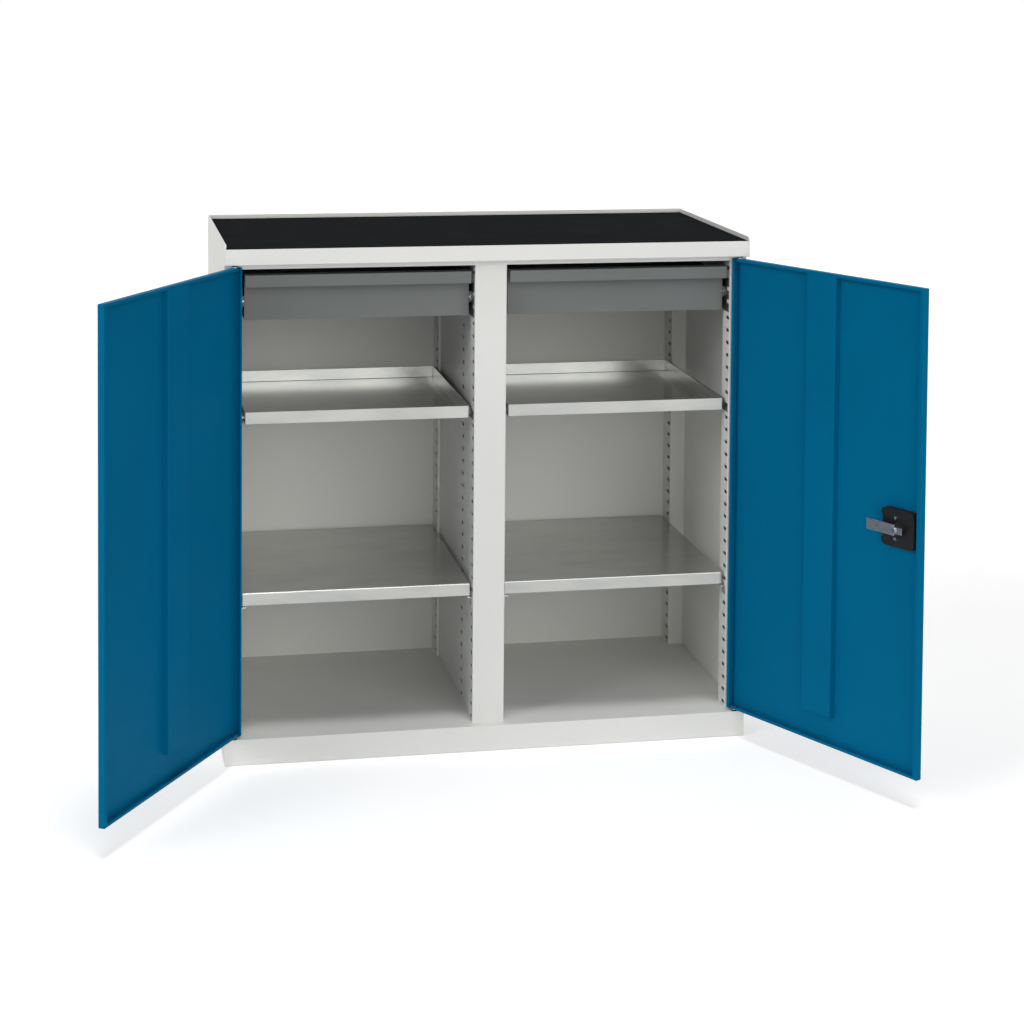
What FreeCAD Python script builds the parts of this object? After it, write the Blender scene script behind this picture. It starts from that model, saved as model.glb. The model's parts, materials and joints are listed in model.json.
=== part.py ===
import FreeCAD
import Part
import os

os.makedirs("parts", exist_ok=True)

# Overall size of the closed carcass
WIDTH = 1030.0
DEPTH = 520.0
HEIGHT = 1000.0

# Length by which every cutter runs past the face it cuts
OVERRUN = 4.0

# Outer radius of the folds in the sheet, and how near a fold its edge has to lie
BEND = 2.0
EDGE_TOLERANCE = 0.01

# Carcass sheet, plinth, fascia and top
PANEL_SHEET = 1.2
PLINTH_HEIGHT = 50.0
PLINTH_FLANGE = 25.0
RIM_HEIGHT = 8.0
RIM_SLOPE = 7.0
HEM_HEIGHT = 6.0
FASCIA_HEIGHT = 31.0
LIP_HEIGHT = 10.0
RECESS_DEPTH = 24.0
REAR_RETURN = 20.0
MAT_THICKNESS = 3.0
MAT_CLEARANCE = 0.5
BEAM_WIDTH = 60.0
BEAM_SHEET = 2.0

# Uprights, centre post, partition and the rows of slots
UPRIGHT_SHEET = 1.2
UPRIGHT_WIDTH = 33.0
UPRIGHT_DEPTH = 48.0
REAR_UPRIGHT_DEPTH = 60.0
POST_WIDTH = 63.0
POST_FLANGE = 12.0
SKIN_RECESS = 5.0
SLOT_LENGTH = 20.0
SLOT_HEIGHT = 7.0
SLOT_PITCH = 25.0
SLOT_START = 10.0
SLOT_INSET = 14.5
SKIN_SLOT_INSET = 105.0
REAR_SLOT_INSET = 16.5
TONGUE_WIDTH = 8.0
TONGUE_REACH = 4.0

# Fixed shelves and their clips
SHELF_SHEET = 1.0
SHELF_ROW = 9
SHELF_RISE = 12.0
SHELF_EDGE = 25.0
SHELF_LIP = 12.0
SHELF_GAP = 2.0
SHELF_SETBACK = 40.0
SHELF_REAR_GAP = 4.0
CLIP_SHEET = 1.5
CLIP_LEDGE = 9.0
CLIP_FOOT = 6.0
CLIP_AHEAD = 9.0
CLIP_BEHIND = 12.0

# Pull-out trays
TRAY_SHEET = 1.0
TRAY_ROWS_DOWN = 12
TRAY_RISE = 14.0
TRAY_HEIGHT = 24.0
TRAY_SETBACK = 40.0
TRAY_REAR_GAP = 37.0

# Drawers with a hanging grip along the top of the front
DRAWER_SHEET = 1.0
DRAWER_TOP_GAP = 12.0
DRAWER_HEIGHT = 90.0
DRAWER_SIDE_HEIGHT = 73.0
DRAWER_SETBACK = 54.0
DRAWER_REAR_GAP = 43.0
GRIP_REACH = 28.0
GRIP_HEIGHT = 24.0
GRIP_LIP = 6.0

# Runners hooked into the slots beside the trays and drawers, with a T-shaped rail in each
RUNNER_ROOM = 7.0
RUNNER_SHEET = 1.2
RUNNER_DEPTH = 6.0
RUNNER_HEIGHT = 20.0
RUNNER_LIP = 5.0
RUNNER_SETBACK = 57.0
RUNNER_REAR_GAP = 33.0
PLATE_SETBACK = 42.0
HOOK_REACH = 13.0
HOOK_DROP = 13.0
HOOK_RISE = 4.0
TRAY_HOOK_STEPS = (0,)
DRAWER_HOOK_STEPS = (-1, 0, 1)
RAIL_FOOT = 14.0
RAIL_FOOT_THICKNESS = 2.0
RAIL_WEB = 4.0
RAIL_CLEARANCE = 0.3
RAIL_SETBACK = 58.0
RAIL_REAR_GAP = 49.0

# Doors, drawn closed and then turned to the angles at which they stand open
DOOR_SHEET = 1.0
DOOR_EDGE = 4.0
DOOR_SPLIT = 3.0
DOOR_GAP = 4.0
DOOR_DEPTH = 13.0
HINGE_DEPTH = 16.0
HINGE_LIP = 8.0
FREE_LIP = 10.0
DOOR_LIP = 6.0
STIFFENER_SHEET = 1.0
STIFFENER_START = 209.0
STIFFENER_WIDTH = 77.0
STIFFENER_DEPTH = 13.0
STIFFENER_FOOT = 56.0
LEFT_ANGLE = 121.25
RIGHT_ANGLE = 115.8

# Door pivots: a pin in a flanged bush at the top and the bottom
PIVOT_INSET = 18.0
PIVOT_SETBACK = 6.5
PIN_RADIUS = 3.0
PIN_REACH = 5.0
COLLAR_RADIUS = 4.5
COLLAR_HEIGHT = 5.0
SHOULDER_RADIUS = 5.0
BUSH_WALL = 1.4
BUSH_SLEEVE = 6.0
BUSH_FLANGE = 2.0
BUSH_FLANGE_RADIUS = 5.8
RUNNING_CLEARANCE = 0.05
SEAT_CLEARANCE = 0.3

# Lock on the right door
LOCK_EDGE = 51.0
LOCK_Z = 508.5
CASE_FREE_SIDE = 36.0
CASE_HINGE_SIDE = 45.0
CASE_HEIGHT = 70.0
CASE_DEPTH = 14.0
CASE_CORNER = 10.0
CASE_NOTCH_DEPTH = 4.0
CASE_NOTCH_HEIGHT = 44.0
BOSS_RADIUS = 12.0
CASE_SCREW_SHIFT = 8.0
CASE_SCREW_SPACING = 39.0
CASE_SCREW_RADIUS = 3.0
CASE_SCREW_HEAD = 2.0
SPINDLE_RADIUS = 6.0
SPINDLE_HEAD_RADIUS = 10.0
SPINDLE_HEAD = 5.0
KEY_SLOT_WIDTH = 2.0
KEY_SLOT_LENGTH = 9.0
KEY_SLOT_DEPTH = 3.0
HANDLE_PLATE = 4.0
HANDLE_BAR = 9.0
HANDLE_REACH = 20.0
HANDLE_FOLD = 14.0
HANDLE_FOLD_SHEET = 4.0
CAM_THICKNESS = 2.5
CAM_WIDTH = 20.0
CAM_TONGUE = 69.0
CAM_TAIL = 18.5
CAM_TAIL_WIDTH = 12.0
CAM_SCREW_RADIUS = 2.5
CAM_SCREW_HEAD_RADIUS = 4.5
CAM_SCREW_HEAD = 2.5
CAM_SCREW_LENGTH = 12.0
KEEPER_CLEARANCE = 0.8

# Planes that several pieces share
FRONT = -DEPTH / 2
BACK = DEPTH / 2
OUTER = WIDTH / 2
INNER = OUTER - PANEL_SHEET
BACK_FACE = BACK - 2 * PANEL_SHEET
RECESS = FRONT + RECESS_DEPTH
BAY_OUT = OUTER - UPRIGHT_WIDTH
BAY_IN = POST_WIDTH / 2
FASCIA_TOP = HEIGHT - RIM_HEIGHT
FASCIA_BOTTOM = FASCIA_TOP - FASCIA_HEIGHT
LIP_BOTTOM = FASCIA_BOTTOM - LIP_HEIGHT
TOP_FACE = FASCIA_TOP - MAT_THICKNESS
TOP_UNDER = TOP_FACE - PANEL_SHEET
FLOOR_UNDER = PLINTH_HEIGHT - PANEL_SHEET
FRONT_ROW_Y = RECESS + SLOT_INSET
SKIN_FRONT = RECESS + UPRIGHT_DEPTH
SKIN_BACK = BACK_FACE - REAR_UPRIGHT_DEPTH
REAR_ROW_Y = SKIN_BACK + REAR_SLOT_INSET
FIRST_ROW = PLINTH_HEIGHT + SLOT_START
LAST_ROW = int((LIP_BOTTOM - SLOT_START - FIRST_ROW) / SLOT_PITCH)
SHELF_BOTTOM = FIRST_ROW + SHELF_ROW * SLOT_PITCH + SHELF_RISE
TRAY_RUNNER_ROW = LAST_ROW - TRAY_ROWS_DOWN + 1
TRAY_BOTTOM = FIRST_ROW + (LAST_ROW - TRAY_ROWS_DOWN) * SLOT_PITCH + TRAY_RISE
DRAWER_TOP = LIP_BOTTOM - DRAWER_TOP_GAP
DRAWER_BOTTOM = DRAWER_TOP - DRAWER_HEIGHT
DRAWER_RUNNER_ROW = int((DRAWER_BOTTOM - FIRST_ROW) / SLOT_PITCH) + 2
DRAWER_FACE = FRONT + DRAWER_SETBACK
DOOR_BOTTOM = PLINTH_HEIGHT + DOOR_GAP
DOOR_TOP = FASCIA_BOTTOM - DOOR_GAP
DOOR_OUTER = OUTER - DOOR_EDGE
DOOR_FREE = DOOR_SPLIT / 2
PIVOT_X = OUTER - PIVOT_INSET
PIVOT_Y = FRONT + PIVOT_SETBACK
BUSH_RADIUS = PIN_RADIUS + RUNNING_CLEARANCE + BUSH_WALL
LOCK_X = DOOR_FREE + LOCK_EDGE
CASE_FACE = FRONT + DOOR_SHEET + CASE_DEPTH
CAM_FRONT = RECESS + UPRIGHT_SHEET + KEEPER_CLEARANCE
CAM_BACK = CAM_FRONT + CAM_THICKNESS
HANDLE_FACE = FRONT - HANDLE_PLATE
ALONG_X = FreeCAD.Vector(1, 0, 0)
ALONG_Y = FreeCAD.Vector(0, 1, 0)
ALONG_Z = FreeCAD.Vector(0, 0, 1)


def box(x, y, z):
    """Block between the two ends given for each axis."""
    corner = FreeCAD.Vector(min(x), min(y), min(z))
    return Part.makeBox(max(x) - min(x), max(y) - min(y), max(z) - min(z), corner)


def rod_x(radius, x, y, z):
    """Round bar along X between the two ends given for x."""
    return Part.makeCylinder(radius, x[1] - x[0], FreeCAD.Vector(x[0], y, z), ALONG_X)


def rod_y(radius, x, y, z):
    """Round bar along Y between the two ends given for y."""
    return Part.makeCylinder(radius, y[1] - y[0], FreeCAD.Vector(x, y[0], z), ALONG_Y)


def rod_z(radius, x, y, z):
    """Round bar along Z between the two ends given for z."""
    return Part.makeCylinder(radius, z[1] - z[0], FreeCAD.Vector(x, y, z[0]), ALONG_Z)


def joined(shapes):
    """One solid from several overlapping or touching shapes."""
    return shapes[0].fuse(shapes[1:]).removeSplitter()


def mirrored(shape):
    """The same piece for the right-hand side."""
    return shape.mirror(FreeCAD.Vector(0, 0, 0), ALONG_X)


def plate_yz(points, x):
    """Flat sheet with a many-cornered outline in Y and Z."""
    corners = [FreeCAD.Vector(x[0], y, z) for y, z in points]
    outline = Part.makePolygon(corners + corners[:1])
    return Part.Face(outline).extrude(FreeCAD.Vector(x[1] - x[0], 0, 0))


def inset(ends, margin):
    """The two ends of a span, each moved inwards by a margin."""
    return (ends[0] + margin, ends[1] - margin)


def rounded_block(x, y, z, radius):
    """Block with all its edges rounded."""
    block = box(x, y, z)
    return block.makeFillet(radius, block.Edges)


def closed_shell(x, y, z, sheet):
    """Closed box of folded sheet, from which an opening is cut."""
    outside = rounded_block(x, y, z, BEND)
    return outside.cut(rounded_block(inset(x, sheet), inset(y, sheet), inset(z, sheet), BEND - sheet))


def open_pan(x, y, z, sheet):
    """Sheet pan with a floor and four walls, open at the top."""
    shell = closed_shell(x, y, (z[0], z[1] + OVERRUN), sheet)
    return shell.cut(box(inset(x, -OVERRUN), inset(y, -OVERRUN), (z[1], z[1] + 2 * OVERRUN)))


def left_of(start, end):
    """Unit step to the left of the way from start to end, which lies along one axis."""
    across = end[0] - start[0]
    along = end[1] - start[1]
    length = abs(across) + abs(along)
    return (-along / length, across / length)


def folded_strip(points, sheet, placed, run):
    """Sheet to the left of a line of square folds, drawn flat by placed and swept along run."""
    sides = [left_of(start, end) for start, end in zip(points, points[1:])]
    steps = [sides[:1]] + [list(pair) for pair in zip(sides, sides[1:])] + [sides[-1:]]
    backs = []
    for point, normals in zip(points, steps):
        shift = [sheet * sum(normal[axis] for normal in normals) for axis in (0, 1)]
        backs.append((point[0] + shift[0], point[1] + shift[1]))
    corners = [placed(point) for point in points + backs[::-1]]
    strip = Part.Face(Part.makePolygon(corners + corners[:1])).extrude(run)
    for index in range(1, len(points) - 1):
        before, after = sides[index - 1], sides[index]
        turns_left = before[0] * after[1] - before[1] * after[0] > 0
        outer, inner = (points, backs) if turns_left else (backs, points)
        strip = strip.makeFillet(BEND, edges_at(strip, placed(outer[index]) + run / 2))
        strip = strip.makeFillet(BEND - sheet, edges_at(strip, placed(inner[index]) + run / 2))
    return strip


def edges_at(shape, middle):
    """Edges of a shape whose middle lies at a place."""
    return [edge for edge in shape.Edges if edge.CenterOfMass.distanceToPoint(middle) < EDGE_TOLERANCE]


def strip_along_x(points, sheet, x):
    """Folded strip between the ends x, from points in Y and Z."""
    return folded_strip(points, sheet, lambda point: FreeCAD.Vector(x[0], *point), ALONG_X * (x[1] - x[0]))


def strip_along_z(points, sheet, z):
    """Folded strip between the ends z, from points in X and Y."""
    return folded_strip(points, sheet, lambda point: FreeCAD.Vector(*point, z[0]), ALONG_Z * (z[1] - z[0]))


def export(node, solids):
    """Write one node, which holds one solid or a group of separate ones."""
    shape = solids[0] if len(solids) == 1 else Part.makeCompound(solids)
    shape.exportStep("parts/" + node + ".step")


def row_height(row):
    """Height of the middle of one row of slots."""
    return FIRST_ROW + row * SLOT_PITCH


def slot_heights():
    """Heights of the slots in every upright."""
    return [row_height(row) for row in range(LAST_ROW + 1)]


def slot_cutter(x, y, z):
    """Bar along X with the outline of a slot with round ends."""
    radius = SLOT_HEIGHT / 2
    half = SLOT_LENGTH / 2 - radius
    middle = box(x, (y - half, y + half), (z - radius, z + radius))
    return joined([middle] + [rod_x(radius, x, end, z) for end in (y - half, y + half)])


def slot_row(x, y, heights):
    """Cutters for one vertical row of slots through a sheet that spans x."""
    reach = (min(x) - OVERRUN, max(x) + OVERRUN)
    return [slot_cutter(reach, y, height) for height in heights]


def from_wall(wall, inward, near, far):
    """Span of x between two distances from a bay wall."""
    return (wall + inward * near, wall + inward * far)


def slot_tongue(wall, inward, y, height, sheet):
    """Flat tongue that reaches through a bay wall and lies on the bottom of a slot."""
    bottom = height - SLOT_HEIGHT / 2
    tongue_y = (y - TONGUE_WIDTH / 2, y + TONGUE_WIDTH / 2)
    return box(from_wall(wall, inward, -TONGUE_REACH, 0), tongue_y, (bottom, bottom + sheet))


def bush_holes(z):
    """Cutters for the two bush holes in a sheet that spans z."""
    return [rod_z(BUSH_RADIUS + SEAT_CLEARANCE, x, PIVOT_Y, z) for x in (-PIVOT_X, PIVOT_X)]


# Carcass panels
def side_panel():
    wall_x = (-OUTER, -INNER)
    outline = [
        (FRONT, 0),
        (BACK, 0),
        (BACK, HEIGHT),
        (FRONT + RIM_SLOPE, HEIGHT),
        (FRONT, FASCIA_TOP),
        (FRONT, FASCIA_BOTTOM),
        (RECESS, FASCIA_BOTTOM),
        (RECESS, PLINTH_HEIGHT),
        (FRONT, PLINTH_HEIGHT),
    ]
    wall = plate_yz(outline, wall_x)
    rear_return = box((-OUTER, -OUTER + REAR_RETURN), (BACK - PANEL_SHEET, BACK), (0, HEIGHT))
    hem_y = (FRONT + RIM_SLOPE, BACK_FACE)
    hem = box((-INNER, -INNER + PANEL_SHEET), hem_y, (HEIGHT - HEM_HEIGHT, HEIGHT))
    return joined([wall, rear_return, hem])


def back_panel():
    sheet = box((-INNER, INNER), (BACK_FACE, BACK_FACE + PANEL_SHEET), (0, HEIGHT))
    hem_x = INNER - PANEL_SHEET
    hem = box((-hem_x, hem_x), (BACK_FACE - PANEL_SHEET, BACK_FACE), (HEIGHT - HEM_HEIGHT, HEIGHT))
    return joined([sheet, hem])


def fascia_rail():
    profile = [
        (FRONT, FASCIA_TOP),
        (FRONT, FASCIA_BOTTOM),
        (RECESS, FASCIA_BOTTOM),
        (RECESS, LIP_BOTTOM),
    ]
    rail = strip_along_x(profile, PANEL_SHEET, (-INNER, INNER))
    return rail.cut(bush_holes((FASCIA_BOTTOM - OVERRUN, FASCIA_BOTTOM + PANEL_SHEET + OVERRUN)))


def top_panel():
    return box((-INNER, INNER), (FRONT + PANEL_SHEET, BACK_FACE), (TOP_UNDER, TOP_FACE))


def top_mat():
    half = INNER - PANEL_SHEET - MAT_CLEARANCE
    mat_y = (FRONT + PANEL_SHEET + MAT_CLEARANCE, BACK_FACE - PANEL_SHEET - MAT_CLEARANCE)
    return box((-half, half), mat_y, (TOP_FACE, FASCIA_TOP))


def floor_panel():
    panel = box((-INNER, INNER), (FRONT + PANEL_SHEET, BACK_FACE), (FLOOR_UNDER, PLINTH_HEIGHT))
    return panel.cut(bush_holes((FLOOR_UNDER - OVERRUN, PLINTH_HEIGHT + OVERRUN)))


def plinth_front():
    profile = [(FRONT, PLINTH_HEIGHT), (FRONT, 0), (FRONT + PLINTH_FLANGE, 0)]
    return strip_along_x(profile, PANEL_SHEET, (-INNER, INNER))


def base_rail_rear():
    profile = [(BACK_FACE - PLINTH_FLANGE, 0), (BACK_FACE, 0), (BACK_FACE, FLOOR_UNDER)]
    return strip_along_x(profile, PANEL_SHEET, (-INNER, INNER))


def base_beam():
    half = BEAM_WIDTH / 2
    beam_y = (FRONT + PLINTH_FLANGE, BACK_FACE - PLINTH_FLANGE)
    block = box((-half, half), beam_y, (0, FLOOR_UNDER))
    hollow_half = half - BEAM_SHEET
    hollow_y = (beam_y[0] - OVERRUN, beam_y[1] + OVERRUN)
    return block.cut(box((-hollow_half, hollow_half), hollow_y, (BEAM_SHEET, FLOOR_UNDER + OVERRUN)))


# Uprights, centre post and partition
def front_upright():
    profile = [(-INNER, RECESS), (-BAY_OUT, RECESS), (-BAY_OUT, SKIN_FRONT), (-INNER, SKIN_FRONT)]
    upright = strip_along_z(profile, UPRIGHT_SHEET, (PLINTH_HEIGHT, TOP_UNDER))
    web_x = (-BAY_OUT - UPRIGHT_SHEET, -BAY_OUT)
    return upright.cut([fascia_room()] + slot_row(web_x, FRONT_ROW_Y, slot_heights()))


def fascia_room():
    """Cutter for the space above the front faces of the uprights, where the fascia rail lies."""
    room_y = (RECESS - OVERRUN, RECESS + BEND)
    return box((-OUTER, OUTER), room_y, (LIP_BOTTOM, HEIGHT))


def rear_upright():
    profile = [(-INNER, SKIN_BACK), (-BAY_OUT, SKIN_BACK), (-BAY_OUT, BACK_FACE)]
    upright = strip_along_z(profile, UPRIGHT_SHEET, (PLINTH_HEIGHT, TOP_UNDER))
    web_x = (-BAY_OUT - UPRIGHT_SHEET, -BAY_OUT)
    return upright.cut(slot_row(web_x, REAR_ROW_Y, slot_heights()))


def centre_post_front():
    flange_x = BAY_IN - POST_FLANGE
    profile = [
        (-flange_x, SKIN_FRONT),
        (-BAY_IN, SKIN_FRONT),
        (-BAY_IN, RECESS),
        (BAY_IN, RECESS),
        (BAY_IN, SKIN_FRONT),
        (flange_x, SKIN_FRONT),
    ]
    post = strip_along_z(profile, UPRIGHT_SHEET, (PLINTH_HEIGHT, TOP_UNDER))
    left_x = (-BAY_IN, -BAY_IN + UPRIGHT_SHEET)
    right_x = (BAY_IN - UPRIGHT_SHEET, BAY_IN)
    slot_x = (right_x[0] - OVERRUN, right_x[1] + OVERRUN)
    slot_y = (RECESS + UPRIGHT_SHEET, CAM_BACK + KEEPER_CLEARANCE)
    slot_low = LOCK_Z - CAM_WIDTH / 2 - KEEPER_CLEARANCE
    slot_high = LOCK_Z + CAM_TONGUE + KEEPER_CLEARANCE
    slot = box(slot_x, slot_y, (slot_low, slot_high))
    heights = slot_heights()
    beside_slot = [z for z in heights if z + SLOT_PITCH < slot_low or z - SLOT_PITCH > slot_high]
    rows = slot_row(left_x, FRONT_ROW_Y, heights) + slot_row(right_x, FRONT_ROW_Y, beside_slot)
    return post.cut([fascia_room(), slot] + rows)


def centre_post_rear():
    flange_x = BAY_IN - POST_FLANGE
    profile = [
        (flange_x, SKIN_BACK),
        (BAY_IN, SKIN_BACK),
        (BAY_IN, BACK_FACE),
        (-BAY_IN, BACK_FACE),
        (-BAY_IN, SKIN_BACK),
        (-flange_x, SKIN_BACK),
    ]
    post = strip_along_z(profile, UPRIGHT_SHEET, (PLINTH_HEIGHT, TOP_UNDER))
    return post.cut(slot_row((-BAY_IN, BAY_IN), REAR_ROW_Y, slot_heights()))


def partition_skin():
    skin_x = from_wall(-BAY_IN, 1, SKIN_RECESS, SKIN_RECESS + PANEL_SHEET)
    skin = box(skin_x, (SKIN_FRONT, SKIN_BACK), (PLINTH_HEIGHT, TOP_UNDER))
    return skin.cut(slot_row(skin_x, SKIN_FRONT + SKIN_SLOT_INSET, slot_heights()))


# Fixed shelves
def shelf():
    shelf_x = (-BAY_OUT + SHELF_GAP, -BAY_IN - SHELF_GAP)
    shelf_y = (FRONT + SHELF_SETBACK, BACK_FACE - SHELF_REAR_GAP)
    shell = closed_shell(shelf_x, shelf_y, (SHELF_BOTTOM, SHELF_BOTTOM + SHELF_EDGE), SHELF_SHEET)
    window_z = (SHELF_BOTTOM - OVERRUN, SHELF_BOTTOM + SHELF_SHEET + OVERRUN)
    return shell.cut(box(inset(shelf_x, SHELF_LIP), inset(shelf_y, SHELF_LIP), window_z))


def shelf_clip(wall, inward, y):
    """Bent clip on the bay wall at x = wall, with a tongue in the slot behind it."""
    slot_z = SHELF_BOTTOM - SHELF_RISE
    clip_y = (y - CLIP_AHEAD, y + CLIP_BEHIND)
    ledge_z = (SHELF_BOTTOM - CLIP_SHEET, SHELF_BOTTOM)
    plate_z = (slot_z - CLIP_FOOT, SHELF_BOTTOM)
    plate = box(from_wall(wall, inward, 0, CLIP_SHEET), clip_y, plate_z)
    ledge = box(from_wall(wall, inward, 0, CLIP_LEDGE), clip_y, ledge_z)
    return joined([plate, ledge, slot_tongue(wall, inward, y, slot_z, CLIP_SHEET)])


def shelf_clips():
    clips = []
    for y in (FRONT_ROW_Y, REAR_ROW_Y):
        clips.append(shelf_clip(-BAY_OUT, 1, y))
        clips.append(shelf_clip(-BAY_IN, -1, y))
    return clips


# Runners and rails
def runner(wall, inward, row, steps):
    """Lipped channel along one row of slots, on a plate with hooks at the rows so many steps from it."""
    middle = row_height(row)
    run_y = (FRONT + RUNNER_SETBACK, BACK_FACE - RUNNER_REAR_GAP)
    through_y = inset(run_y, -OVERRUN)
    run_z = (middle - RUNNER_HEIGHT / 2, middle + RUNNER_HEIGHT / 2)
    block = box(from_wall(wall, inward, 0, RUNNER_DEPTH), run_y, run_z)
    hollow_x = from_wall(wall, inward, RUNNER_SHEET, RUNNER_DEPTH - RUNNER_SHEET)
    hollow = box(hollow_x, through_y, inset(run_z, RUNNER_SHEET))
    mouth_x = from_wall(wall, inward, RUNNER_SHEET, RUNNER_DEPTH + OVERRUN)
    mouth = box(mouth_x, through_y, inset(run_z, RUNNER_SHEET + RUNNER_LIP))
    heights = [row_height(row + step) for step in steps]
    plate_x = from_wall(wall, inward, 0, RUNNER_SHEET)
    plate_front = FRONT + PLATE_SETBACK
    plate_z = (heights[0] - HOOK_DROP, heights[-1] + HOOK_RISE)
    pieces = [block.cut([hollow, mouth]), box(plate_x, (plate_front, run_y[1]), plate_z)]
    for height in heights:
        hook_z = (height - HOOK_DROP, height + HOOK_RISE)
        pieces.append(box(plate_x, (plate_front - HOOK_REACH, plate_front), hook_z))
        pieces.append(slot_tongue(wall, inward, REAR_ROW_Y, height, RUNNER_SHEET))
    return joined(pieces)


def rail(wall, inward, row):
    """T-shaped rail that slides in the runner and carries the tray or drawer."""
    middle = row_height(row)
    rail_y = (FRONT + RAIL_SETBACK, BACK_FACE - RAIL_REAR_GAP)
    foot_start = RUNNER_SHEET + RAIL_CLEARANCE
    foot_x = from_wall(wall, inward, foot_start, foot_start + RAIL_FOOT_THICKNESS)
    foot = box(foot_x, rail_y, (middle - RAIL_FOOT / 2, middle + RAIL_FOOT / 2))
    web_x = from_wall(wall, inward, foot_start, RUNNER_ROOM)
    web = box(web_x, rail_y, (middle - RAIL_WEB / 2, middle + RAIL_WEB / 2))
    return joined([foot, web])


# Pull-out trays and drawers
def tray_pan():
    tray_x = (-BAY_OUT + RUNNER_ROOM, -BAY_IN - RUNNER_ROOM)
    tray_y = (FRONT + TRAY_SETBACK, BACK_FACE - TRAY_REAR_GAP)
    return open_pan(tray_x, tray_y, (TRAY_BOTTOM, TRAY_BOTTOM + TRAY_HEIGHT), TRAY_SHEET)


def drawer_pan():
    pan_x = (-BAY_OUT + RUNNER_ROOM, -BAY_IN - RUNNER_ROOM)
    pan_y = (DRAWER_FACE + DRAWER_SHEET, BACK_FACE - DRAWER_REAR_GAP)
    return open_pan(pan_x, pan_y, (DRAWER_BOTTOM, DRAWER_BOTTOM + DRAWER_SIDE_HEIGHT), DRAWER_SHEET)


def drawer_front():
    front_x = (-BAY_OUT + RUNNER_ROOM, -BAY_IN - RUNNER_ROOM)
    back_y = DRAWER_FACE + DRAWER_SHEET
    grip_y = DRAWER_FACE - GRIP_REACH
    grip_z = DRAWER_TOP - GRIP_HEIGHT
    profile = [
        (back_y, DRAWER_BOTTOM),
        (back_y, DRAWER_TOP),
        (grip_y, DRAWER_TOP),
        (grip_y, grip_z),
        (grip_y + GRIP_LIP, grip_z),
    ]
    return strip_along_x(profile, DRAWER_SHEET, front_x)


# Doors and their pivots
def door_pan():
    door_x = (-DOOR_OUTER, -DOOR_FREE)
    door_z = (DOOR_BOTTOM, DOOR_TOP)
    past_depth = FRONT + HINGE_DEPTH + OVERRUN
    shell = closed_shell(door_x, (FRONT, FRONT + DOOR_DEPTH), door_z, DOOR_SHEET)
    window_x = (door_x[0] + DOOR_SHEET, door_x[1] - FREE_LIP)
    window_y = (FRONT + DOOR_DEPTH - DOOR_SHEET, past_depth)
    window = box(window_x, window_y, inset(door_z, DOOR_LIP))
    channel_x = (door_x[0], door_x[0] + HINGE_LIP)
    channel_end = channel_x[1] + BEND + DOOR_SHEET
    closed_channel = closed_shell((door_x[0], channel_end), (FRONT, FRONT + HINGE_DEPTH), door_z, DOOR_SHEET)
    beyond = box((channel_x[1], channel_end + OVERRUN), (FRONT - OVERRUN, past_depth), inset(door_z, -OVERRUN))
    room = box((door_x[0] + DOOR_SHEET, channel_x[1]), window_y, inset(door_z, DOOR_SHEET))
    pan = joined([shell.cut([window, room]), closed_channel.cut(beyond)])
    hole_radius = PIN_RADIUS + SEAT_CLEARANCE
    low_hole = rod_z(hole_radius, -PIVOT_X, PIVOT_Y, (DOOR_BOTTOM - OVERRUN, DOOR_BOTTOM + DOOR_SHEET))
    high_hole = rod_z(hole_radius, -PIVOT_X, PIVOT_Y, (DOOR_TOP - DOOR_SHEET, DOOR_TOP + OVERRUN))
    return pan.cut([low_hole, high_hole])


def door_stiffener():
    start = -DOOR_OUTER + STIFFENER_START
    end = start + STIFFENER_WIDTH
    skin_y = FRONT + DOOR_SHEET
    crown_y = skin_y + STIFFENER_DEPTH
    profile = [(end, skin_y), (end, crown_y), (start, crown_y), (start, skin_y)]
    return strip_along_z(profile, STIFFENER_SHEET, (DOOR_BOTTOM + STIFFENER_FOOT, DOOR_TOP - DOOR_LIP))


def pivot_pin(edge, flange_inside, seat, tip):
    """Pin whose collar and shoulder hold the door's flange between edge and flange_inside."""
    into_door = 1 if flange_inside > edge else -1
    collar = sorted((flange_inside, flange_inside + into_door * COLLAR_HEIGHT))
    shaft = sorted((tip, flange_inside + into_door * COLLAR_HEIGHT))
    return joined([
        rod_z(PIN_RADIUS, -PIVOT_X, PIVOT_Y, shaft),
        rod_z(COLLAR_RADIUS, -PIVOT_X, PIVOT_Y, collar),
        rod_z(SHOULDER_RADIUS, -PIVOT_X, PIVOT_Y, sorted((seat, edge))),
    ])


def door_pivot_pins():
    low_seat = PLINTH_HEIGHT + BUSH_FLANGE + SEAT_CLEARANCE
    high_seat = FASCIA_BOTTOM - BUSH_FLANGE - SEAT_CLEARANCE
    low = pivot_pin(DOOR_BOTTOM, DOOR_BOTTOM + DOOR_SHEET, low_seat, PLINTH_HEIGHT - PIN_REACH)
    high = pivot_pin(DOOR_TOP, DOOR_TOP - DOOR_SHEET, high_seat, FASCIA_BOTTOM + PIN_REACH)
    return [low, high]


def pivot_bush(face, outward, sleeve_end):
    """Flanged bush with its flange on a carcass face and its sleeve through the sheet."""
    flange_end = face + outward * BUSH_FLANGE
    whole = joined([
        rod_z(BUSH_FLANGE_RADIUS, -PIVOT_X, PIVOT_Y, sorted((face, flange_end))),
        rod_z(BUSH_RADIUS, -PIVOT_X, PIVOT_Y, sorted((face, sleeve_end))),
    ])
    ends = sorted((flange_end + outward * OVERRUN, sleeve_end - outward * OVERRUN))
    return whole.cut(rod_z(PIN_RADIUS + RUNNING_CLEARANCE, -PIVOT_X, PIVOT_Y, ends))


def pivot_bushes():
    low = pivot_bush(PLINTH_HEIGHT, 1, PLINTH_HEIGHT - BUSH_SLEEVE)
    high = pivot_bush(FASCIA_BOTTOM, -1, FASCIA_BOTTOM + BUSH_SLEEVE)
    return [low, high]


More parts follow.
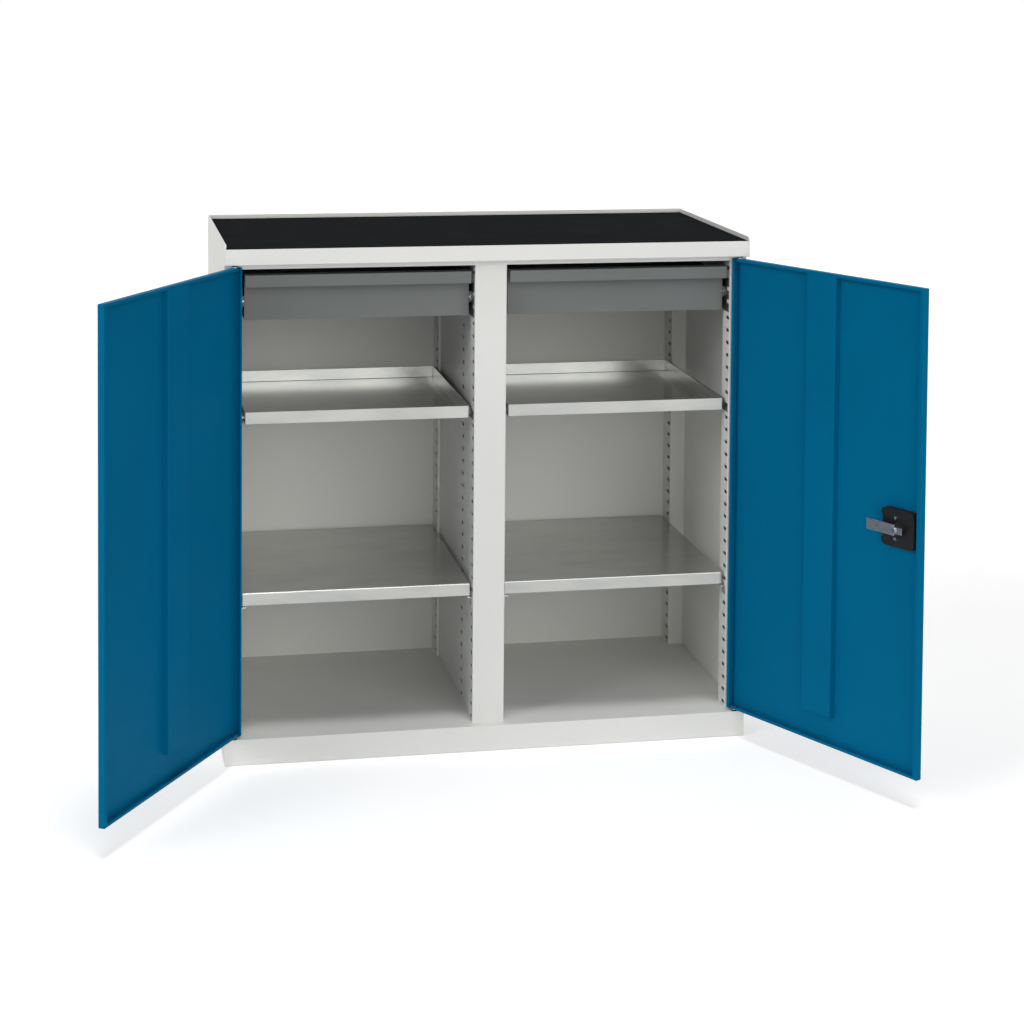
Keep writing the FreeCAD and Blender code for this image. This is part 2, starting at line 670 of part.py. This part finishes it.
# Lock, drawn on the closed right door
def rounded_plate(x, y, z, corner):
    """Plate in the plane of the door with rounded corners."""
    block = box(x, y, z)
    through_edges = [edge for edge in block.Edges if round(abs(edge.tangentAt(edge.FirstParameter).y)) == 1]
    return block.makeFillet(corner, through_edges)


def spindle_bore(radius, y):
    """Cutter for a hole on the lock's axis through what spans y."""
    return rod_y(radius, LOCK_X, (y[0] - OVERRUN, y[1] + OVERRUN), LOCK_Z)


def right_door_pan():
    skin_y = (FRONT, FRONT + DOOR_SHEET)
    return mirrored(door_pan()).cut(spindle_bore(SPINDLE_RADIUS + SEAT_CLEARANCE, skin_y))


def case_screw_places():
    half = CASE_SCREW_SPACING / 2
    return [(LOCK_X + CASE_SCREW_SHIFT, LOCK_Z - half), (LOCK_X + CASE_SCREW_SHIFT, LOCK_Z + half)]


def lock_case():
    case_x = (LOCK_X - CASE_FREE_SIDE, LOCK_X + CASE_HINGE_SIDE)
    case_z = (LOCK_Z - CASE_HEIGHT / 2, LOCK_Z + CASE_HEIGHT / 2)
    case_y = (FRONT + DOOR_SHEET, CASE_FACE)
    block = rounded_plate(case_x, case_y, case_z, CASE_CORNER)
    notch_x = (case_x[1] - CASE_NOTCH_DEPTH, case_x[1] + OVERRUN)
    notch_z = (LOCK_Z - CASE_NOTCH_HEIGHT / 2, LOCK_Z + CASE_NOTCH_HEIGHT / 2)
    notch = box(notch_x, (case_y[0] - OVERRUN, case_y[1] + OVERRUN), notch_z)
    boss = rod_y(BOSS_RADIUS, LOCK_X, (case_y[0], CAM_FRONT - SEAT_CLEARANCE), LOCK_Z)
    bore = spindle_bore(SPINDLE_RADIUS + RUNNING_CLEARANCE, (case_y[0], CAM_FRONT))
    return joined([block.cut(notch), boss]).cut(bore)


def lock_case_screws():
    head_y = (CASE_FACE, CASE_FACE + CASE_SCREW_HEAD)
    return [rod_y(CASE_SCREW_RADIUS, x, head_y, z) for x, z in case_screw_places()]


def door_handle():
    plate_x = (LOCK_X - CASE_FREE_SIDE, LOCK_X + CASE_HINGE_SIDE)
    plate_z = (LOCK_Z - CASE_HEIGHT / 2, LOCK_Z + CASE_HEIGHT / 2)
    plate = rounded_plate(plate_x, (HANDLE_FACE, FRONT), plate_z, CASE_CORNER)
    grip_z = (plate_z[0] + CASE_CORNER, plate_z[1] - CASE_CORNER)
    bar_x = (plate_x[1] - HANDLE_BAR, plate_x[1])
    grip_y = (HANDLE_FACE - HANDLE_REACH, HANDLE_FACE)
    bar = box(bar_x, grip_y, grip_z)
    fold_x = (bar_x[0] - HANDLE_FOLD, bar_x[1])
    fold = box(fold_x, (grip_y[0], grip_y[0] + HANDLE_FOLD_SHEET), grip_z)
    return joined([plate, bar, fold]).cut(spindle_bore(SPINDLE_RADIUS + SEAT_CLEARANCE, (HANDLE_FACE, FRONT)))


def lock_spindle():
    head_y = (HANDLE_FACE - SEAT_CLEARANCE - SPINDLE_HEAD, HANDLE_FACE - SEAT_CLEARANCE)
    head = rod_y(SPINDLE_HEAD_RADIUS, LOCK_X, head_y, LOCK_Z)
    shaft = rod_y(SPINDLE_RADIUS, LOCK_X, (head_y[0], CAM_FRONT), LOCK_Z)
    slot_x = (LOCK_X - KEY_SLOT_LENGTH / 2, LOCK_X + KEY_SLOT_LENGTH / 2)
    slot_z = (LOCK_Z - KEY_SLOT_WIDTH / 2, LOCK_Z + KEY_SLOT_WIDTH / 2)
    key_slot = box(slot_x, (head_y[0] - OVERRUN, head_y[0] + KEY_SLOT_DEPTH), slot_z)
    screw_y = (CAM_FRONT - CAM_SCREW_LENGTH, CAM_FRONT + OVERRUN)
    screw_hole = rod_y(CAM_SCREW_RADIUS + SEAT_CLEARANCE, LOCK_X, screw_y, LOCK_Z)
    return joined([head, shaft]).cut([key_slot, screw_hole])


def lock_cam():
    cam_y = (CAM_FRONT, CAM_BACK)
    tongue = box((LOCK_X, LOCK_X + CAM_TONGUE), cam_y, (LOCK_Z - CAM_WIDTH / 2, LOCK_Z + CAM_WIDTH / 2))
    tail_half = CAM_TAIL_WIDTH / 2
    tail = box((LOCK_X - CAM_TAIL, LOCK_X), cam_y, (LOCK_Z - tail_half, LOCK_Z + tail_half))
    return joined([tongue, tail]).cut(spindle_bore(CAM_SCREW_RADIUS + SEAT_CLEARANCE, cam_y))


def lock_cam_screw():
    head = rod_y(CAM_SCREW_HEAD_RADIUS, LOCK_X, (CAM_BACK, CAM_BACK + CAM_SCREW_HEAD), LOCK_Z)
    shank_y = (CAM_FRONT - CAM_SCREW_LENGTH + SEAT_CLEARANCE, CAM_BACK)
    return joined([head, rod_y(CAM_SCREW_RADIUS, LOCK_X, shank_y, LOCK_Z)])


# Turning the closed doors to the angles at which they stand open
def opened_left(shape):
    turned = shape.copy()
    turned.rotate(FreeCAD.Vector(-PIVOT_X, PIVOT_Y, 0), ALONG_Z, -LEFT_ANGLE)
    return turned


def opened_right(shape):
    turned = shape.copy()
    turned.rotate(FreeCAD.Vector(PIVOT_X, PIVOT_Y, 0), ALONG_Z, RIGHT_ANGLE)
    return turned


def export_pair(name, solids):
    """Write a left-hand piece and its mirror image."""
    export("left_" + name, solids)
    export("right_" + name, [mirrored(solid) for solid in solids])


export_pair("side_panel", [side_panel()])
export("back_panel", [back_panel()])
export("fascia_rail", [fascia_rail()])
export("top_panel", [top_panel()])
export("top_mat", [top_mat()])
export("floor_panel", [floor_panel()])
export("plinth_front", [plinth_front()])
export("base_rail_rear", [base_rail_rear()])
export("base_beam", [base_beam()])
export_pair("front_upright", [front_upright()])
export_pair("rear_upright", [rear_upright()])
export("centre_post_front", [centre_post_front()])
export("centre_post_rear", [centre_post_rear()])
export_pair("partition_skin", [partition_skin()])
export_pair("shelf", [shelf()])
export_pair("shelf_clips", shelf_clips())
export_pair("pivot_bushes", pivot_bushes())

slides = (
    ("tray", TRAY_RUNNER_ROW, TRAY_HOOK_STEPS),
    ("drawer", DRAWER_RUNNER_ROW, DRAWER_HOOK_STEPS),
)
for load, row, steps in slides:
    for place, wall, inward in (("outer", -BAY_OUT, 1), ("inner", -BAY_IN, -1)):
        export_pair(load + "_runner_" + place, [runner(wall, inward, row, steps)])
        export_pair(load + "_rail_" + place, [rail(wall, inward, row)])
export_pair("tray_pan", [tray_pan()])
export_pair("drawer_pan", [drawer_pan()])
export_pair("drawer_front", [drawer_front()])

export("left_door_pan", [opened_left(door_pan())])
export("left_door_stiffener", [opened_left(door_stiffener())])
export("left_door_pivot_pins", [opened_left(pin) for pin in door_pivot_pins()])
export("right_door_pan", [opened_right(right_door_pan())])
export("right_door_stiffener", [opened_right(mirrored(door_stiffener()))])
export("right_door_pivot_pins", [opened_right(mirrored(pin)) for pin in door_pivot_pins()])
export("lock_case", [opened_right(lock_case())])
export("lock_case_screws", [opened_right(screw) for screw in lock_case_screws()])
export("door_handle", [opened_right(door_handle())])
export("lock_spindle", [opened_right(lock_spindle())])
export("lock_cam", [opened_right(lock_cam())])
export("lock_cam_screw", [opened_right(lock_cam_screw())])
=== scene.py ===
import json
import math

import bmesh
import bpy
from mathutils import Matrix, Vector

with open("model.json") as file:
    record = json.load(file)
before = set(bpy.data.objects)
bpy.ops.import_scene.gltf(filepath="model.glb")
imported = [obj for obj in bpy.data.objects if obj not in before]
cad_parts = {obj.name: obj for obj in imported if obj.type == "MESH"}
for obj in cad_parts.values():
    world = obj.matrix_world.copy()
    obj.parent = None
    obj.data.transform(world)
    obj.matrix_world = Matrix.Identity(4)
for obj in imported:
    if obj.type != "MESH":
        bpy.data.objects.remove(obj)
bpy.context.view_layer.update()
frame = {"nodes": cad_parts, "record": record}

# Camera of the photograph, in metres and degrees, with the image taken as square
CAMERA_PLACE = Vector((-0.8186, -4.5752, 1.5468))
CAMERA_YAW = math.radians(11.17)
CAMERA_PITCH = math.radians(3.03)
CAMERA_ROLL = math.radians(0.45)
SENSOR_WIDTH = 36.0
LENS = 80.44
LENS_DROP = 0.4231
RIG_TURN = math.radians(-45.0)

# Light, floor and background: name, strength, apparent width and direction towards each lamp
WORLD_LEVEL = 0.25
LAMPS = (
    ("left_light", 1.10, math.radians(35.0), Vector((-0.821, -0.383, 0.423))),
    ("front_light", 1.50, math.radians(60.0), Vector((0.255, -0.951, 0.174))),
    ("top_light", 1.00, math.radians(16.0), Vector((0.0, -0.17, 0.985))),
)
WHITE = (1.0, 1.0, 1.0, 1.0)
FLOOR_HALF = 14.0
FLOOR_CELLS = 8
FLOOR_DROP = 0.0005
FLOOR_COLOUR = (0.86, 0.86, 0.86)
FLOOR_MOTTLE = 0.99
FLOOR_PATCHES = (3.0, 2.0)
FLOOR_ROUGHNESS = 0.9
FLOOR_GLOW = 0.35

# Range in which the values of noise mostly lie
NOISE_LOW = 0.3
NOISE_HIGH = 0.7

# Noise is given as grains to the metre and detail, relief as strength and height in metres
# Baked paint: patches of tone, rubbed patches, orange peel
PAINT_PATCHES = (5.0, 4.0)
PAINT_RUBBING = (24.0, 5.0)
PAINT_PEEL = (420.0, 2.0)
PAINT_PEEL_HEIGHT = 0.0004
PAINT_SMOOTHER = 0.05
PAINT_ROUGHER = 0.07

# Zinc-coated sheet: clouds, spangle, rolling grain
ZINC_STRETCH = (1.0, 3.0, 3.0)
ZINC_CLOUDS = (9.0, 4.0)
ZINC_TONES = (
    (NOISE_LOW, (0.43, 0.44, 0.43)),
    (0.50, (0.48, 0.485, 0.465)),
    (NOISE_HIGH, (0.52, 0.52, 0.49)),
)
ZINC_METAL = 0.85
SPANGLE_SCALE = 130.0
SPANGLE_ROUGHNESS = (0.20, 0.21)
ZINC_GRAIN_STRETCH = (40.0, 900.0, 900.0)
ZINC_GRAIN = (1.0, 2.0)
ZINC_RELIEF = (0.01, 0.0003)

# Rubber mat: ribs, dust, fine skin
RIB_SCALE = 55.0
RIB_RELIEF = (0.35, 0.0006)
RUBBER_DUST = (12.0, 5.0)
RUBBER_DARK = (0.0045, 0.006, 0.007)
RUBBER_LIGHT = (0.008, 0.0095, 0.011)
RUBBER_GLOSS = 0.006
RUBBER_ROUGHNESS = (0.72, 0.86)
RUBBER_SKIN = (900.0, 2.0)
RUBBER_SKIN_RELIEF = (0.15, 0.0003)

# Moulded black plastic: tone and spark grain
PLASTIC_PATCHES = (60.0, 3.0)
PLASTIC_DARK = (0.006, 0.006, 0.007)
PLASTIC_LIGHT = (0.011, 0.011, 0.012)
PLASTIC_GLOSS = 0.25
PLASTIC_GRAIN = (1600.0, 3.0)
PLASTIC_ROUGHNESS = (0.40, 0.52)
PLASTIC_RELIEF = (0.20, 0.0003)

# Plated steel: lines along the rolling direction
STEEL_STRETCH = (60.0, 60.0, 2400.0)
STEEL_LINES = (1.0, 3.0)
STEEL_RELIEF = (0.08, 0.0002)

# Paints by slot: name, colour, mottle, roughness, relief and gloss
PAINTS = {
    "light_grey_paint": ("light_grey_coat", (0.76, 0.755, 0.725), 0.012, 0.42, 0.08, 0.30),
    "blue_paint": ("blue_coat", (0.0006, 0.132, 0.270), 0.03, 0.40, 0.12, 0.015),
    "dark_grey_paint": ("dark_grey_coat", (0.145, 0.156, 0.150), 0.06, 0.40, 0.10, 0.30),
}

# Steels by slot: name, darker and lighter tone, least and greatest roughness
STEELS = {
    # The dark tone of dark_steel is partly the runners' own steel and partly painted shade for the side
    # gaps beside the drawers and trays
    "dark_steel": ("dark_steel", (0.13, 0.13, 0.14), (0.19, 0.19, 0.20), 0.34, 0.46),
    "plain_steel": ("plain_steel", (0.36, 0.35, 0.37), (0.46, 0.45, 0.47), 0.26, 0.40),
    "bright_screw": ("bright_plating", (0.74, 0.74, 0.75), (0.84, 0.84, 0.84), 0.14, 0.24),
}

# Eased edges in metres: width and segments of each node
WELD_DISTANCE = 0.00001
SHARP_ANGLE = math.radians(50.0)
EASED_EDGES = {
    "lock_case": (0.0012, 3),
    "door_handle": (0.0012, 3),
    "lock_cam": (0.0006, 2),
}


def new_material(name):
    """Empty material with its node tree and main shader."""
    material = bpy.data.materials.new(name)
    material.use_nodes = True
    tree = material.node_tree
    return material, tree, tree.nodes["Principled BSDF"]


def object_coordinates(tree, stretch=(1.0, 1.0, 1.0)):
    """Place on the object in metres, scaled along each axis."""
    source = tree.nodes.new("ShaderNodeTexCoord")
    mapping = tree.nodes.new("ShaderNodeMapping")
    mapping.inputs["Scale"].default_value = stretch
    tree.links.new(source.outputs["Object"], mapping.inputs["Vector"])
    return mapping.outputs["Vector"]


def noise(tree, place, scale, detail):
    """Smooth noise with so many grains to the metre."""
    node = tree.nodes.new("ShaderNodeTexNoise")
    node.inputs["Scale"].default_value = scale
    node.inputs["Detail"].default_value = detail
    tree.links.new(place, node.inputs["Vector"])
    return node.outputs["Fac"]


def ramp(tree, value, stops):
    """Colour that follows a value through the given stops."""
    node = tree.nodes.new("ShaderNodeValToRGB")
    band = node.color_ramp
    while len(band.elements) < len(stops):
        band.elements.new((NOISE_LOW + NOISE_HIGH) / 2)
    for element, (position, colour) in zip(band.elements, stops):
        element.position = position
        element.color = (*colour, 1.0)
    tree.links.new(value, node.inputs["Fac"])
    return node.outputs["Color"]


def two_tones(tree, value, dark, light):
    """Colour between two tones that follows a value of noise."""
    return ramp(tree, value, ((NOISE_LOW, dark), (NOISE_HIGH, light)))


def spread(tree, value, low, high):
    """Value of noise carried over to the range from low to high."""
    node = tree.nodes.new("ShaderNodeMapRange")
    node.inputs["From Min"].default_value = NOISE_LOW
    node.inputs["From Max"].default_value = NOISE_HIGH
    node.inputs["To Min"].default_value = low
    node.inputs["To Max"].default_value = high
    tree.links.new(value, node.inputs["Value"])
    return node.outputs["Result"]


def bump(tree, height, strength, distance, below=None):
    """Surface relief from a height, laid over an earlier relief if there is one."""
    node = tree.nodes.new("ShaderNodeBump")
    node.inputs["Strength"].default_value = strength
    node.inputs["Distance"].default_value = distance
    tree.links.new(height, node.inputs["Height"])
    if below is not None:
        tree.links.new(below, node.inputs["Normal"])
    return node.outputs["Normal"]


def shade(colour, factor):
    """The same colour, lighter or darker."""
    return tuple(channel * factor for channel in colour)


def powder_coat(name, colour, mottle, roughness, relief, gloss):
    """Baked paint with orange peel, a faint mottle and rubbed patches."""
    material, tree, shader = new_material(name)
    place = object_coordinates(tree)
    patches = noise(tree, place, *PAINT_PATCHES)
    tone = two_tones(tree, patches, shade(colour, 1.0 - mottle), shade(colour, 1.0 + mottle))
    tree.links.new(tone, shader.inputs["Base Color"])
    shader.inputs["Specular IOR Level"].default_value = gloss
    rubbed = noise(tree, place, *PAINT_RUBBING)
    sheen = spread(tree, rubbed, roughness - PAINT_SMOOTHER, roughness + PAINT_ROUGHER)
    tree.links.new(sheen, shader.inputs["Roughness"])
    peel = bump(tree, noise(tree, place, *PAINT_PEEL), relief, PAINT_PEEL_HEIGHT)
    tree.links.new(peel, shader.inputs["Normal"])
    return material


def galvanised(name):
    """Zinc-coated sheet with cloudy patches, a faint spangle and a fine rolling grain."""
    material, tree, shader = new_material(name)
    crystals = tree.nodes.new("ShaderNodeTexVoronoi")
    crystals.inputs["Scale"].default_value = SPANGLE_SCALE
    tree.links.new(object_coordinates(tree), crystals.inputs["Vector"])
    cell = tree.nodes.new("ShaderNodeSeparateColor")
    tree.links.new(crystals.outputs["Color"], cell.inputs["Color"])
    clouds = noise(tree, object_coordinates(tree, ZINC_STRETCH), *ZINC_CLOUDS)
    tree.links.new(ramp(tree, clouds, ZINC_TONES), shader.inputs["Base Color"])
    shader.inputs["Metallic"].default_value = ZINC_METAL
    tree.links.new(spread(tree, cell.outputs["Green"], *SPANGLE_ROUGHNESS), shader.inputs["Roughness"])
    grain = noise(tree, object_coordinates(tree, ZINC_GRAIN_STRETCH), *ZINC_GRAIN)
    tree.links.new(bump(tree, grain, *ZINC_RELIEF), shader.inputs["Normal"])
    return material


def ribbed_rubber(name):
    """Black rubber sheet with fine ribs and dust between them."""
    material, tree, shader = new_material(name)
    place = object_coordinates(tree)
    ribs = tree.nodes.new("ShaderNodeTexWave")
    ribs.wave_type = "BANDS"
    ribs.bands_direction = "X"
    ribs.inputs["Scale"].default_value = RIB_SCALE
    tree.links.new(place, ribs.inputs["Vector"])
    dust = noise(tree, place, *RUBBER_DUST)
    tree.links.new(two_tones(tree, dust, RUBBER_DARK, RUBBER_LIGHT), shader.inputs["Base Color"])
    shader.inputs["Specular IOR Level"].default_value = RUBBER_GLOSS
    tree.links.new(spread(tree, dust, *RUBBER_ROUGHNESS), shader.inputs["Roughness"])
    ridges = bump(tree, ribs.outputs["Fac"], *RIB_RELIEF)
    skin = bump(tree, noise(tree, place, *RUBBER_SKIN), *RUBBER_SKIN_RELIEF, ridges)
    tree.links.new(skin, shader.inputs["Normal"])
    return material


def grained_plastic(name):
    """Moulded black plastic with a fine spark grain."""
    material, tree, shader = new_material(name)
    place = object_coordinates(tree)
    patches = noise(tree, place, *PLASTIC_PATCHES)
    tree.links.new(two_tones(tree, patches, PLASTIC_DARK, PLASTIC_LIGHT), shader.inputs["Base Color"])
    shader.inputs["Specular IOR Level"].default_value = PLASTIC_GLOSS
    grain = noise(tree, place, *PLASTIC_GRAIN)
    tree.links.new(spread(tree, grain, *PLASTIC_ROUGHNESS), shader.inputs["Roughness"])
    tree.links.new(bump(tree, grain, *PLASTIC_RELIEF), shader.inputs["Normal"])
    return material


def rolled_steel(name, dark, light, low, high):
    """Plated steel with fine lines along its rolling direction."""
    material, tree, shader = new_material(name)
    lines = noise(tree, object_coordinates(tree, STEEL_STRETCH), *STEEL_LINES)
    tree.links.new(two_tones(tree, lines, dark, light), shader.inputs["Base Color"])
    shader.inputs["Metallic"].default_value = 1.0
    tree.links.new(spread(tree, lines, low, high), shader.inputs["Roughness"])
    tree.links.new(bump(tree, lines, *STEEL_RELIEF), shader.inputs["Normal"])
    return material


def finishes():
    """One material for each slot of the record."""
    made = {slot: powder_coat(*paint) for slot, paint in PAINTS.items()}
    made.update({slot: rolled_steel(*steel) for slot, steel in STEELS.items()})
    made["zinc_steel"] = galvanised("galvanised_sheet")
    made["mat_rubber"] = ribbed_rubber("rubber_mat")
    made["black_plastic"] = grained_plastic("moulded_black")
    return made


def dress_nodes(materials):
    """Give every CAD node the finish of its slot."""
    slots = {part["node"]: part["material_slot"] for part in frame["record"]["subparts"]}
    for name, node in frame["nodes"].items():
        node.data.materials.clear()
        node.data.materials.append(materials[slots[name]])


def ease_edges(name, width, segments):
    """Round the sharp edges of a moulded or stamped node."""
    node = frame["nodes"][name]
    weld = node.modifiers.new("weld", "WELD")
    weld.merge_threshold = WELD_DISTANCE
    bevel = node.modifiers.new("ease", "BEVEL")
    bevel.width = width
    bevel.segments = segments
    bevel.limit_method = "ANGLE"
    bevel.angle_limit = SHARP_ANGLE


def camera_axes():
    """Right, up and backward directions of the photograph's camera."""
    ahead = Vector((
        math.sin(CAMERA_YAW) * math.cos(CAMERA_PITCH),
        math.cos(CAMERA_YAW) * math.cos(CAMERA_PITCH),
        -math.sin(CAMERA_PITCH),
    ))
    level = Vector((math.cos(CAMERA_YAW), -math.sin(CAMERA_YAW), 0.0))
    upright = level.cross(ahead)
    right = math.cos(CAMERA_ROLL) * level + math.sin(CAMERA_ROLL) * upright
    up = math.cos(CAMERA_ROLL) * upright - math.sin(CAMERA_ROLL) * level
    return right, up, -ahead


def slanted_rig(right, up, axis):
    """Carrier that leans the camera's axis towards its up direction without turning the picture."""
    half = up.angle(axis) / 2
    turn = Matrix((right, (up + axis).normalized(), (axis - up).normalized())).transposed().to_4x4()
    slant = Matrix.Diagonal((1.0, math.sqrt(2.0) * math.cos(half), math.sqrt(2.0) * math.sin(half), 1.0))
    rig = bpy.data.objects.new("camera_rig", None)
    rig.matrix_world = Matrix.Translation(CAMERA_PLACE) @ turn @ slant
    bpy.context.scene.collection.objects.link(rig)
    return rig


def add_camera():
    """View camera with a dropped lens, so that upright edges stay upright in the picture."""
    right, up, back = camera_axes()
    axis = back * LENS + up * LENS_DROP * SENSOR_WIDTH
    data = bpy.data.cameras.new("photo_camera")
    data.sensor_width = SENSOR_WIDTH
    data.lens = axis.length
    camera = bpy.data.objects.new("photo_camera", data)
    camera.parent = slanted_rig(right, up, axis.normalized())
    camera.rotation_euler.x = RIG_TURN
    bpy.context.scene.collection.objects.link(camera)
    bpy.context.scene.camera = camera


def add_lamps():
    """Broad lamps from the left, the front and above."""
    for name, strength, angle, towards in LAMPS:
        data = bpy.data.lights.new(name, "SUN")
        data.energy = strength
        data.angle = angle
        lamp = bpy.data.objects.new(name, data)
        lamp.rotation_euler = towards.to_track_quat("Z", "Y").to_euler()
        bpy.context.scene.collection.objects.link(lamp)


def seen_directly(tree):
    """1 for a ray from the camera, a mirror image or clear glass, 0 for light that falls on things."""
    path = tree.nodes.new("ShaderNodeLightPath")
    total = path.outputs["Is Camera Ray"]
    for kind in ("Is Glossy Ray", "Is Transmission Ray"):
        either = tree.nodes.new("ShaderNodeMath")
        either.operation = "MAXIMUM"
        tree.links.new(total, either.inputs[0])
        tree.links.new(path.outputs[kind], either.inputs[1])
        total = either.outputs[0]
    return total


def add_world():
    """Even light from all round, seen as plain white by the camera."""
    world = bpy.data.worlds.new("studio")
    world.use_nodes = True
    tree = world.node_tree
    tree.nodes.clear()
    lighting = tree.nodes.new("ShaderNodeBackground")
    lighting.inputs["Color"].default_value = WHITE
    lighting.inputs["Strength"].default_value = WORLD_LEVEL
    backdrop = tree.nodes.new("ShaderNodeBackground")
    backdrop.inputs["Color"].default_value = WHITE
    choice = tree.nodes.new("ShaderNodeMixShader")
    output = tree.nodes.new("ShaderNodeOutputWorld")
    tree.links.new(seen_directly(tree), choice.inputs[0])
    tree.links.new(lighting.outputs[0], choice.inputs[1])
    tree.links.new(backdrop.outputs[0], choice.inputs[2])
    tree.links.new(choice.outputs[0], output.inputs["Surface"])
    bpy.context.scene.world = world


def floor_material():
    """Matt white floor that the camera sees a little brighter."""
    material, tree, shader = new_material("white_floor")
    patches = noise(tree, object_coordinates(tree), *FLOOR_PATCHES)
    tone = two_tones(tree, patches, shade(FLOOR_COLOUR, FLOOR_MOTTLE), FLOOR_COLOUR)
    tree.links.new(tone, shader.inputs["Base Color"])
    shader.inputs["Roughness"].default_value = FLOOR_ROUGHNESS
    glow = tree.nodes.new("ShaderNodeMath")
    glow.operation = "MULTIPLY"
    glow.inputs[1].default_value = FLOOR_GLOW
    tree.links.new(seen_directly(tree), glow.inputs[0])
    shader.inputs["Emission Color"].default_value = WHITE
    tree.links.new(glow.outputs[0], shader.inputs["Emission Strength"])
    return material


def add_floor():
    """Floor just below the feet of the part."""
    shape = bmesh.new()
    bmesh.ops.create_grid(shape, x_segments=FLOOR_CELLS, y_segments=FLOOR_CELLS, size=FLOOR_HALF)
    mesh = bpy.data.meshes.new("studio_floor")
    shape.to_mesh(mesh)
    shape.free()
    mesh.materials.append(floor_material())
    floor = bpy.data.objects.new("studio_floor", mesh)
    floor.location.z = -FLOOR_DROP
    bpy.context.scene.collection.objects.link(floor)


dress_nodes(finishes())
for node_name, (edge_width, edge_segments) in EASED_EDGES.items():
    ease_edges(node_name, edge_width, edge_segments)
add_floor()
add_world()
add_lamps()
add_camera()
bpy.context.scene.view_settings.view_transform = "Standard"
